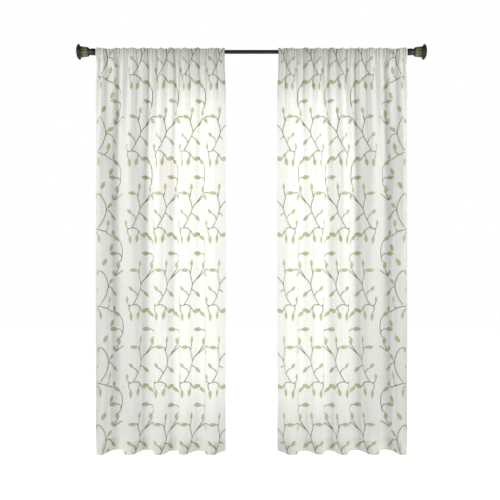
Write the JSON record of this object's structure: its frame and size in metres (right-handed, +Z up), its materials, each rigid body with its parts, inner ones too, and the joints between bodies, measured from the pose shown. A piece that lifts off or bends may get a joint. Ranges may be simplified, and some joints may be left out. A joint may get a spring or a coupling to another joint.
{
  "type": "pair of sheer voile curtain panels on a rod",
  "caption": "Pair of sheer rod-pocket voile curtain panels with an embroidered vine, gathered on a round rod with fluted finials.",
  "frame": {"origin": "on the rod's axis at mid-length", "axes": "+Z up, -Y towards the room that the panels face, +X along the rod to the right as seen from the room"},
  "size_m": [1.8334, 0.0808, 2.1484],
  "materials": {
    "voile": "sheer plain-weave voile with slubs",
    "leaf_thread": "sage and olive embroidery thread",
    "stem_thread": "dark sage embroidery thread",
    "seam_thread": "white sewing thread",
    "rod": "dark bronze, satin",
    "finial": "dark bronze with an olive gold patina"
  },
  "bodies": {
    "root": {"panel_left": "voile", "panel_right": "voile", "rod": "rod", "collar_left": "rod", "collar_right": "rod", "finial_left": "finial", "finial_right": "finial"}
  },
  "joints": []
}
